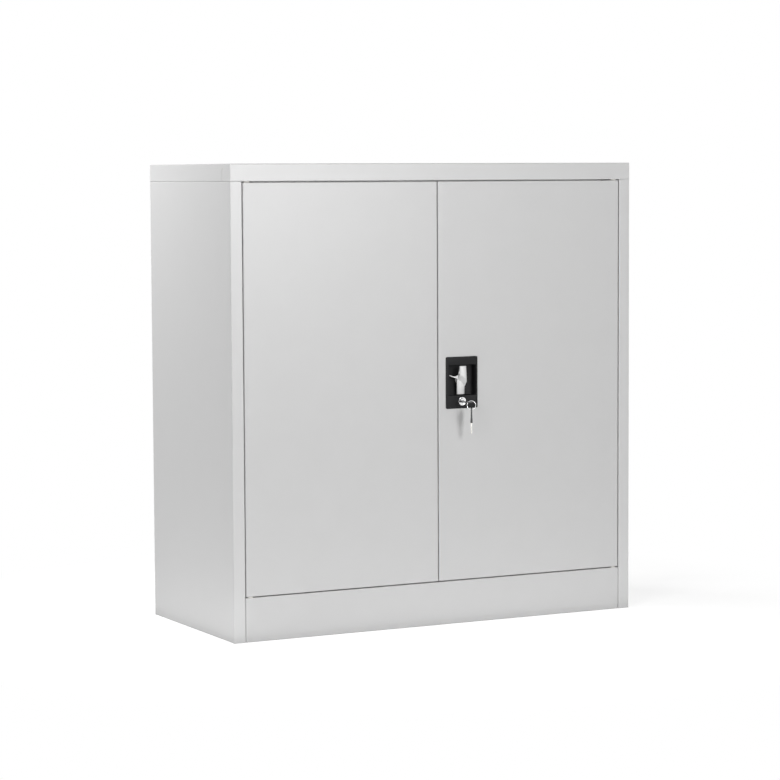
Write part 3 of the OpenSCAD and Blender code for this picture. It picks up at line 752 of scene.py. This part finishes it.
class CABINET_OT_lock_plate(bpy.types.Operator):
    """Model the black lock plate with its finger recess"""

    bl_idname = "cabinet.lock_plate"
    bl_label = "Lock plate"

    def execute(self, context):
        size = context.scene.cabinet_lock_plate
        lo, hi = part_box("lock_cup")
        half = Vector((size.recess_w / 2, 0, size.recess_h / 2))
        wall = Vector((size.wall, 0, size.wall))
        middle = Vector((HANDLE_AXIS.x, 0, HANDLE_AXIS.z))
        in_lo, in_hi = middle - half, middle + half
        out_lo, out_hi = in_lo - wall, in_hi + wall
        front = lo.y - MM
        joint_y = SKIN_Y - LAP
        floor_y = lo.y + size.recess_depth
        cup_back = floor_y + size.floor_t
        bosses = screw_places("cup_screws", CUP_SCREW_R)

        plate = box(lo, (hi.x, SKIN_Y, hi.z))
        round_off(plate, "EDGE", runs_along("Y"), size.corner_r, 8)
        cup = box((out_lo.x, joint_y, out_lo.z), (out_hi.x, cup_back, out_hi.z))
        round_off(cup, "EDGE", runs_along("Y"), size.cup_r, 6)
        combine(plate, cup, "UNION")
        seat_end = cup_back - 0.1 * MM
        combine(plate, bar("Y", KEY_AXIS, size.lock_seat, joint_y, seat_end), "UNION")
        combine(plate, bar("Y", HANDLE_AXIS, size.hub_seat, floor_y + MM, hi.y), "UNION")
        for boss in bosses:
            post = bar("Y", boss, size.boss_r, joint_y, SKIN_Y + size.boss_l, 32)
            combine(plate, post, "UNION")

        recess = box((in_lo.x, front, in_lo.z), (in_hi.x, floor_y, in_hi.z))
        left_rear = runs_along("Z", (in_lo.x, floor_y, 0))
        round_off(recess, "EDGE", left_rear, size.scoop, 10)
        rear = runs_along("X", (0, floor_y, in_lo.z), (0, floor_y, in_hi.z))
        inwards = runs_along("Y")
        round_off(recess, "EDGE", lambda edge: rear(edge) or inwards(edge), size.fillet, 5)
        combine(plate, recess, "DIFFERENCE")
        hub_hole = bar("Y", HANDLE_AXIS, size.hub_hole, floor_y - MM, hi.y + MM)
        combine(plate, hub_hole, "DIFFERENCE")
        lock_hole = bar("Y", KEY_AXIS, size.lock_hole, front, cup_back + MM)
        combine(plate, lock_hole, "DIFFERENCE")
        for boss in bosses:
            combine(plate, bar("Y", boss, size.pilot_r, SKIN_Y - MM, cup_back, 24), "DIFFERENCE")
        clean(plate, 0.08 * MM)
        soften(plate, size.rim)
        black = material_of("lock_cup")
        finish_piece(plate, "lock_plate", "right_door", "black_plastic", black, "lock_cup")
        return {"FINISHED"}


def crowned_arm(size, front, back, inset=0):
    """The handle's whole outline with a rounded front, between two depths"""
    half = Vector((size.width / 2, 0, size.reach / 2))
    lo = HANDLE_AXIS - half + Vector((inset, front, 0))
    arm = box(lo, HANDLE_AXIS + half + Vector((0, back, 0)))
    ends = (HANDLE_AXIS.z - half.z - MM, HANDLE_AXIS.z + half.z + MM)
    crown = bar("Z", (HANDLE_AXIS.x, front + size.crown, 0), size.crown, *ends, 48)
    return combine(arm, crown, "INTERSECT")


def model_spur(size, front, back):
    """The thumb spur: a flat lever that dips in its middle and widens into the arm"""
    root = MM - size.width / 2
    # place beside the handle's axis, and the height of the lower and the upper edge there
    columns = [
        (-size.spur, 9.0 * MM, 11.0 * MM),
        (-23.2 * MM, 7.8 * MM, 9.8 * MM),
        (-20.8 * MM, 6.6 * MM, 8.7 * MM),
        (-18.4 * MM, 5.8 * MM, 7.9 * MM),
        (-16 * MM, 5.0 * MM, 7.4 * MM),
        (-12.6 * MM, 3.7 * MM, 7.8 * MM),
        (root, 2.2 * MM, 9.8 * MM),
    ]
    spur = box((-size.spur, front, 0), (root, back, MM))
    for place, low, high in columns[1:-1]:
        divide(spur, "X", place)
    for place, low, high in columns:
        for level, height in ((0, low), (MM, high)):
            shift(spur, "VERT", runs_through(place, level), (0, 0, height - level))
    soften(spur, 0.2 * MM)
    spur.location = HANDLE_AXIS * Vector((1, 0, 1))
    return apply_place(spur)


def model_arms(size, low_y, high_y):
    """The lower arm, the slanting slope in front of it and the upper arm that it leads to"""
    low_back, high_back = low_y + size.thick, high_y + size.thick + MM
    far, begin = size.reach, -size.begin
    slanted = Matrix.Translation((HANDLE_AXIS.x, 0, HANDLE_AXIS.z))
    slanted @= Matrix.Rotation(size.slant, 4, "Y")

    lower = box((-far, low_y, -far), (far, low_back, begin + MM))
    lower.matrix_world = slanted
    arms = combine(crowned_arm(size, low_y, low_back), apply_place(lower), "INTERSECT")

    foot_y = low_y + size.bury
    climb = size.rise * (foot_y - high_y) / size.proud
    foot_z = begin + size.rise - climb
    block, tread = 4 * MM, 8 * MM
    upper = box((-far, foot_y, foot_z), (far, low_back, foot_z + block))
    shift(
        upper,
        "VERT",
        lambda v: v.co.z > foot_z + MM and v.co.y < foot_y + MM,
        (0, high_y - foot_y, climb - block),
    )
    pick(upper, "FACE", lambda face: face.normal.z > 0.5)
    bpy.ops.mesh.extrude_region_move(TRANSFORM_OT_translate={"value": (0, 0, tread)})
    done()
    shift(
        upper,
        "VERT",
        lambda v: v.co.z > foot_z + tread + MM and v.co.y > foot_y,
        (0, high_back - low_back, climb - block),
    )
    pick(upper, "FACE", faces_towards((0, 0, 1), begin + size.rise + tread - MM))
    bpy.ops.mesh.extrude_region_move(TRANSFORM_OT_translate={"value": (0, 0, far)})
    done()
    upper.matrix_world = slanted

    arm = crowned_arm(size, high_y, low_back, size.inset)
    foot = Matrix.Translation((HANDLE_AXIS.x, high_y, HANDLE_AXIS.z + begin))
    arm.matrix_world = foot @ Matrix.Rotation(-size.lean, 4, "X") @ foot.inverted()
    arm = combine(apply_place(arm), apply_place(upper), "INTERSECT")
    return combine(arms, arm, "UNION")


class CABINET_OT_handle(bpy.types.Operator):
    """Model the cast turn handle with its slanting step, thumb spur, knob and hub"""

    bl_idname = "cabinet.handle"
    bl_label = "Turn handle"

    def execute(self, context):
        size = context.scene.cabinet_handle
        low_y = SKIN_Y + size.sink
        high_y = low_y - size.proud
        cast = model_arms(size, low_y, high_y)
        clean(cast)
        pick(cast, "FACE", lambda face: True)
        bpy.ops.mesh.dissolve_limited(angle_limit=math.radians(1))
        done()
        soften(cast, size.edge, 4, math.radians(28))

        combine(cast, model_spur(size, low_y + 0.5 * MM, low_y + 3 * MM), "UNION")
        knob_at = HANDLE_AXIS + Vector((0.6 * MM - size.width / 2, 0, size.knob_up))
        knob = bar("Y", knob_at, size.knob_r, high_y + 2 * MM, high_y + 5 * MM, 32)
        soften(knob, size.knob_r / 4)
        combine(cast, knob, "UNION")
        hub_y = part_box("handle")[1].y
        shoulder_y = SKIN_Y + size.shoulder
        shoulder = bar("Y", HANDLE_AXIS, size.shoulder_r, low_y + 2.2 * MM, shoulder_y)
        combine(cast, shoulder, "UNION")
        combine(cast, bar("Y", HANDLE_AXIS, size.hub_r, shoulder_y - MM, hub_y), "UNION")
        smooth(cast)
        lacquer = context.scene.cabinet_metal.silver
        silver = chrome_finish("silver_lacquer", lacquer, 0.5, 0.15)
        finish_piece(cast, "turn_handle", "handle", "chrome", silver, "handle")
        return {"FINISHED"}


class CABINET_OT_barrel(bpy.types.Operator):
    """Model the lock barrel with its rounded bezel"""

    bl_idname = "cabinet.barrel"
    bl_label = "Lock barrel"

    def execute(self, context):
        size = context.scene.cabinet_barrel
        lo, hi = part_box("lock_barrel")
        plate_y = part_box("lock_cup")[0].y
        bezel_r = (hi.x - lo.x) / 2
        barrel = bar("Y", KEY_AXIS, bezel_r, lo.y, plate_y + 0.2 * MM, 96)
        forwards = faces_towards((0, -1, 0))
        round_off(barrel, "FACE", forwards, size.rim, 4)
        pick(barrel, "FACE", forwards)
        bpy.ops.mesh.inset(thickness=size.bezel)
        bpy.ops.transform.translate(value=(0, size.sink, 0))
        done()
        combine(barrel, bar("Y", KEY_AXIS, bezel_r - size.step, plate_y, hi.y, 96), "UNION")
        plug_hole = bar("Y", KEY_AXIS, size.plug_hole, lo.y - MM, hi.y + MM, 96)
        combine(barrel, plug_hole, "DIFFERENCE")
        soften(barrel, 0.08 * MM, 2)
        chrome = material_of("lock_barrel")
        finish_piece(barrel, "lock_face", "right_door", "chrome", chrome, "lock_barrel")
        return {"FINISHED"}


def model_bow(size):
    """The moulded bow, flat, with its blade end at the origin and its round end towards -Y"""
    centre_y = size.bow_r - size.bow_l
    half = size.thick / 2
    bow = bar("Z", (0, centre_y, 0), size.bow_r, -half, half, 64)
    shank = box((-size.neck / 2, centre_y, -half), (size.neck / 2, 0, half))
    pick(shank, "FACE", faces_towards((0, -1, 0)))
    bpy.ops.transform.resize(value=(1.96 * size.bow_r / size.neck, 1, 1))
    done()
    combine(bow, shank, "UNION")
    wedge = box((-size.bow_r - MM, -size.bow_l - MM, -half), (size.bow_r + MM, MM, half))
    for place in (centre_y, -2 * MM):
        divide(wedge, "Y", place)
    pick(wedge, "VERT", lambda v: v.co.y < centre_y + 1e-6)
    bpy.ops.transform.resize(
        value=(1, 1, size.thin / size.thick), center_override=(0, 0, 0)
    )
    done()
    combine(bow, wedge, "INTERSECT")
    for side in (1, -1):
        pick(bow, "FACE", faces_towards((0, 0, side), size.thin / 2 - 1e-5))
        bpy.ops.mesh.dissolve_limited(angle_limit=math.radians(0.5))
        bpy.ops.mesh.inset(thickness=size.border)
        bpy.ops.transform.translate(value=(0, 0, -side * size.panel))
        done()
    hole_at = (0, centre_y - size.hole_off, 0)
    combine(bow, bar("Z", hole_at, size.hole_r, -size.thick, size.thick, 48), "DIFFERENCE")
    clear = 0.05 * MM
    seat = Vector((size.blade_w / 2 + clear, 0, size.blade_t / 2 + clear))
    seat_end = size.tang + 2 * clear
    combine(bow, box((-seat.x, -seat_end, -seat.z), (seat.x, MM, seat.z)), "DIFFERENCE")
    clean(bow, 0.15 * MM)
    soften(bow, 0.3 * MM)
    return bow


def model_blade(size):
    """The blade, flat, with its tip towards +Y, milled grooves and cut bits"""
    half_w, half_t = size.blade_w / 2, size.blade_t / 2
    blade = box((-half_w, -size.tang, -half_t), (half_w, size.blade_l, half_t))
    for side in (1, -1):
        lo = (-1.6 * MM, -MM, half_t - size.groove)
        groove = box(lo, (-0.3 * MM, size.blade_l + MM, half_t + MM))
        groove.scale = (side, 1, side)
        apply_place(groove)
        clean(groove)
        combine(blade, groove, "DIFFERENCE")
    first = size.first_cut + size.cut * math.sqrt(0.5)
    notches = [(half_w + 0.4 * MM, first + row * size.cut_pitch, size.cut) for row in range(4)]
    tips = [(side * half_w, size.blade_l + 1.5 * MM, 5 * MM) for side in (1, -1)]
    for x, y, width in notches + tips:
        half = Vector((width / 2, width / 2, size.blade_t))
        wedge = box(-half, half)
        wedge.matrix_world = Matrix.Translation((x, y, 0)) @ Matrix.Rotation(math.pi / 4, 4, "Z")
        combine(blade, apply_place(wedge), "DIFFERENCE")
    clean(blade, 0.05 * MM)
    soften(blade, 0.1 * MM, 2)
    return blade


def turned(first, second, third):
    """The turn that takes X, Y and Z to three directions"""
    return Matrix((first, second, third)).transposed().to_4x4()


class CABINET_OT_keys(bpy.types.Operator):
    """Model the key in the lock and the spare key on the ring"""

    bl_idname = "cabinet.keys"
    bl_label = "Keys"

    def execute(self, context):
        size = context.scene.cabinet_key
        moulding = context.scene.cabinet_moulding
        plastic = moulded_finish("bow_plastic", moulding.bow, moulding, 0.24)
        nickel = material_of("key_blade")
        in_lock = Matrix.Translation((KEY_AXIS.x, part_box("key_bow")[1].y, KEY_AXIS.z))
        hang = JOINTS["spare_key_swing"]
        across = Vector(hang["axis"]).normalized()
        shoulder = Vector((*hang["pos_m"][:2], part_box("spare_key_bow")[0].z))
        on_ring = Matrix.Translation(shoulder) @ turned(across.cross(UP), -UP, across)
        bow, blade = model_bow(size), model_blade(size)
        for body, place in (("key", in_lock), ("spare_key", on_ring)):
            for part, source, slot, finish in (
                ("bow", bow, "black_plastic", plastic),
                ("blade", blade, "key_steel", nickel),
            ):
                piece = copy_of(source)
                piece.matrix_world = place
                node = f"{body}_{part}"
                finish_piece(piece, f"{node}_detail", body, slot, finish, node)
        for source in (bow, blade):
            bpy.data.objects.remove(source)
        return {"FINISHED"}


class CABINET_OT_ring(bpy.types.Operator):
    """Wind the split ring"""

    bl_idname = "cabinet.ring"
    bl_label = "Split ring"

    def execute(self, context):
        size = context.scene.cabinet_ring
        lo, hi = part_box("key_ring")
        across = Vector(JOINTS["key_ring_swing"]["axis"]).normalized()
        bpy.ops.object.select_all(action="DESELECT")
        bpy.ops.mesh.primitive_circle_add(
            vertices=14,
            radius=size.wire,
            location=(size.radius, 0, 0),
            rotation=(math.pi / 2, 0, 0),
            fill_type="NOTHING",
        )
        ring = bpy.context.object
        ring.scale.y = size.flat
        apply_place(ring)
        apply_modifier(
            ring,
            "SCREW",
            angle=size.turns,
            screw_offset=2 * size.pitch,
            steps=size.steps,
            render_steps=size.steps,
            axis="Z",
        )
        pick(ring, "EDGE", lambda edge: edge.is_boundary)
        bpy.ops.mesh.edge_face_add()
        done()
        clean(ring)
        ring.location.z = -size.pitch
        apply_place(ring)
        middle = Matrix.Translation((lo + hi) / 2)
        ring.matrix_world = middle @ turned(across, UP, across.cross(UP))
        apply_place(ring)
        smooth(ring, math.radians(40))
        chrome = material_of("key_ring")
        finish_piece(ring, "split_ring", "key_ring", "chrome", chrome, "key_ring")
        return {"FINISHED"}


def model_screw(size, radius, height, shank_r, shank_l, washer):
    """A screw with a cross recess, its head on the XY plane, with or without a washer's rim"""
    pan_r = radius * size.pan if washer else radius
    screw = bar("Z", (0, 0, 0), pan_r, 0, height, 48)
    round_off(screw, "FACE", faces_towards((0, 0, 1)), height * size.dome, 5)
    if washer:
        combine(screw, bar("Z", (0, 0, 0), radius, 0, size.rim, 48), "UNION")
    reach = min(size.recess, pan_r * 1.2) / 2
    for turn in (0, math.pi / 2):
        slot = box((-reach, -reach / 4, height * 0.25), (reach, reach / 4, height * 2))
        pick(slot, "FACE", faces_towards((0, 0, -1)))
        bpy.ops.transform.resize(value=(0.4, 0.8, 1))
        done()
        slot.rotation_euler.z = turn
        combine(screw, apply_place(slot), "DIFFERENCE")
    combine(screw, bar("Z", (0, 0, 0), shank_r, -shank_l, 0.2 * MM, 24), "UNION")
    soften(screw, 0.08 * MM, 2)
    return screw


class CABINET_OT_screws(bpy.types.Operator):
    """Model the screws of the back, the lock plate, the rod guides, the spindle and the cam"""

    bl_idname = "cabinet.screws"
    bl_label = "Screws"

    def execute(self, context):
        size = context.scene.cabinet_screw
        zinc = material_of("back_screws")
        to_back = Matrix.Rotation(-math.pi / 2, 4, "X")
        # node, body, head's radius and height, shank's radius, screws across and up
        rows = (
            ("back_screws", "carcase", 3.7 * MM, 1.6 * MM, 1.9 * MM, 2, size.rows),
            ("cup_screws", "right_door", CUP_SCREW_R, 1.6 * MM, 1.3 * MM, 2, 2),
            ("guide_screws", "right_door", 2.7 * MM, 1.5 * MM, 1.5 * MM, 2, 2),
            ("spindle_screw", "handle", 4 * MM, 2 * MM, 1.6 * MM, 1, 1),
            ("cam_screw", "key", 4 * MM, 1.8 * MM, 1.2 * MM, 1, 1),
        )
        for node, body, radius, height, shank_r, across, up in rows:
            lo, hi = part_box(node)
            shank_l = hi.y - lo.y - height
            master = model_screw(size, radius, height, shank_r, shank_l, node == "cup_screws")
            copies = []
            for number, place in enumerate(screw_places(node, radius, across, up)):
                screw = copy_of(master)
                seat = Matrix.Translation(place - Vector((0, height, 0)))
                screw.matrix_world = seat @ to_back @ Matrix.Rotation(0.7 * number, 4, "Z")
                copies.append(screw)
            finish_piece(join_pieces(copies), f"{node}_detail", body, "zinc", zinc, node)
            bpy.data.objects.remove(master)
        return {"FINISHED"}


class CABINET_OT_buffers(bpy.types.Operator):
    """Model the domed rubber buffers of the door stop"""

    bl_idname = "cabinet.buffers"
    bl_label = "Door buffers"

    def execute(self, context):
        size = context.scene.cabinet_buffer
        lo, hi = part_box("door_buffers")
        radius = (hi.z - lo.z) / 2
        z = (lo.z + hi.z) / 2
        copies = []
        for x in (lo.x + radius, -size.inner, size.inner, hi.x - radius):
            buffer = bar("Y", (x, 0, z), radius, lo.y, hi.y, 40)
            round_off(buffer, "FACE", faces_towards((0, -1, 0)), size.dome, 5)
            smooth(buffer)
            copies.append(buffer)
        rubber = material_of("door_buffers")
        buffers = join_pieces(copies)
        finish_piece(buffers, "buffer_set", "carcase", "buffer_rubber", rubber, "door_buffers")
        return {"FINISHED"}


def floor_finish(tint, lift):
    """White floor: it takes the object's shadow near it and is plain white far away"""
    finish = Finish("floor")
    matte = finish.node("ShaderNodeBsdfDiffuse", {}, {"Color": opaque(tint)})
    seen = seen_ray(finish)
    glow = finish.node("ShaderNodeEmission", {}, {"Color": (1, 1, 1, 1), "Strength": seen * lift})
    near = finish.node("ShaderNodeAddShader", {}, {0: matte, 1: glow})
    ends = {0: finish.place, 1: (CAD_LO + CAD_HI) * Vector((0.5, 0.5, 0))}
    far_away = finish.node("ShaderNodeVectorMath", {"operation": "DISTANCE"}, ends, "Value")
    white = finish.node("ShaderNodeEmission", {}, {"Color": (1, 1, 1, 1), "Strength": 1.0})
    mask = finish.between(far_away, 0.6, 1.05) * seen
    return finish.show(finish.node("ShaderNodeMixShader", {}, {0: mask, 1: near, 2: white}))


def seen_ray(finish):
    """1 for rays from the camera, off gloss or through glass"""
    camera, glossy, through = (
        finish.node("ShaderNodeLightPath", {}, {}, f"Is {kind} Ray")
        for kind in ("Camera", "Glossy", "Transmission")
    )
    return camera.math("MAXIMUM", glossy).math("MAXIMUM", through)


def add_lamp(name, place, target, size, energy):
    """A soft lamp that looks at a point and isn't itself seen"""
    place, target = Vector(place), Vector(target)
    turn = (target - place).to_track_quat("-Z", "Y").to_euler()
    bpy.ops.object.select_all(action="DESELECT")
    bpy.ops.object.light_add(type="AREA", location=place, rotation=turn)
    lamp = bpy.context.object
    lamp.name = name
    lamp.data.shape = "RECTANGLE"
    lamp.data.size, lamp.data.size_y = size
    lamp.data.energy = energy
    lamp.visible_camera = False
    return lamp


class CABINET_OT_stage(bpy.types.Operator):
    """Set the camera, the soft lamps, the white floor and the white surroundings"""

    bl_idname = "cabinet.stage"
    bl_label = "Studio"

    def execute(self, context):
        stage = context.scene.cabinet_stage
        bpy.ops.object.select_all(action="DESELECT")
        bpy.ops.object.camera_add(location=stage.camera_at)
        camera = bpy.context.object
        yaw = Matrix.Rotation(-stage.yaw, 4, "Z")
        pitch = Matrix.Rotation(math.pi / 2 - stage.pitch, 4, "X")
        roll = Matrix.Rotation(stage.roll, 4, "Z")
        camera.rotation_euler = (yaw @ pitch @ roll).to_euler()
        camera.data.sensor_width = 36
        camera.data.lens = stage.lens
        camera.data.clip_end = 100
        context.scene.camera = camera

        middle = Vector((0, 0.19, 0.46))
        add_lamp("front_lamp", (0.62, -2.84, 1.22), middle, (0.9, 0.9), stage.front)
        add_lamp("left_lamp", (-2.6, -2.0, 1.4), middle, (1.5, 1.5), stage.left)
        side_top = (-0.45, 0.3, 0.8)
        unseen = [
            add_lamp("side_lamp", (-0.95, 0.6, 1.25), side_top, (0.5, 0.5), stage.side),
            add_lamp("back_lamp", (-1.2, 1.9, 1.5), middle, (0.9, 0.9), stage.back),
        ]
        for name, x, y, size in (
            ("bounce_left", -0.62, 0.19, (0.3, 0.6)),
            ("bounce_front", 0, -0.18, (1.3, 0.3)),
        ):
            watts = stage.bounce * size[0] * size[1]
            unseen.append(add_lamp(name, (x, y, 3 * MM), (x, y, 1), size, watts))
        for lamp in unseen:
            lamp.visible_glossy = False

        bpy.ops.object.select_all(action="DESELECT")
        bpy.ops.mesh.primitive_plane_add(size=60, location=(0, 0, CAD_LO.z - 0.2 * MM))
        floor = apply_place(bpy.context.object)
        floor.name = "studio_floor"
        floor.data.materials.append(floor_finish(stage.floor, stage.lift))

        world = bpy.data.worlds.new("studio")
        context.scene.world = world
        world.use_nodes = True
        tree = world.node_tree
        tree.nodes.clear()
        paths = tree.nodes.new("ShaderNodeLightPath")
        sky = tree.nodes.new("ShaderNodeBackground")
        sky.inputs["Strength"].default_value = stage.world
        white = tree.nodes.new("ShaderNodeBackground")
        white.inputs["Strength"].default_value = 1.0
        for light in (sky, white):
            light.inputs["Color"].default_value = (1, 1, 1, 1)
        mix = tree.nodes.new("ShaderNodeMixShader")
        either = tree.nodes.new("ShaderNodeMath")
        either.operation = "MAXIMUM"
        tree.links.new(paths.outputs["Is Camera Ray"], either.inputs[0])
        tree.links.new(paths.outputs["Is Glossy Ray"], either.inputs[1])
        tree.links.new(either.outputs[0], mix.inputs[0])
        tree.links.new(sky.outputs[0], mix.inputs[1])
        tree.links.new(white.outputs[0], mix.inputs[2])
        out = tree.nodes.new("ShaderNodeOutputWorld")
        tree.links.new(mix.outputs[0], out.inputs["Surface"])
        context.scene.view_settings.view_transform = "Standard"
        return {"FINISHED"}


OPERATORS = (
    CABINET_OT_coat,
    CABINET_OT_metal,
    CABINET_OT_moulding,
    CABINET_OT_lock_plate,
    CABINET_OT_handle,
    CABINET_OT_barrel,
    CABINET_OT_keys,
    CABINET_OT_ring,
    CABINET_OT_screws,
    CABINET_OT_buffers,
    CABINET_OT_stage,
)


class CABINET_PT_panel(bpy.types.Panel):
    """The buttons and sizes of the tool cabinet"""

    bl_idname = "CABINET_PT_panel"
    bl_label = "Tool Cabinet"
    bl_space_type = "VIEW_3D"
    bl_region_type = "UI"
    bl_category = "Tool Cabinet"

    def draw(self, context):
        for operator in OPERATORS:
            self.layout.operator(operator.bl_idname)
        for name, group in SETTINGS.items():
            column = self.layout.column(heading=group.__doc__)
            for setting in group.__annotations__:
                column.prop(getattr(context.scene, name), setting)


CLASSES = (*SETTINGS.values(), *OPERATORS, CABINET_PT_panel)


def register():
    for cls in CLASSES:
        bpy.utils.register_class(cls)
    for name, group in SETTINGS.items():
        setattr(bpy.types.Scene, name, PointerProperty(type=group))


def unregister():
    for name in SETTINGS:
        delattr(bpy.types.Scene, name)
    for cls in reversed(CLASSES):
        bpy.utils.unregister_class(cls)


def main():
    register()
    for operator in OPERATORS:
        group, name = operator.bl_idname.split(".")
        getattr(getattr(bpy.ops, group), name)()


if __name__ == "__main__":
    main()
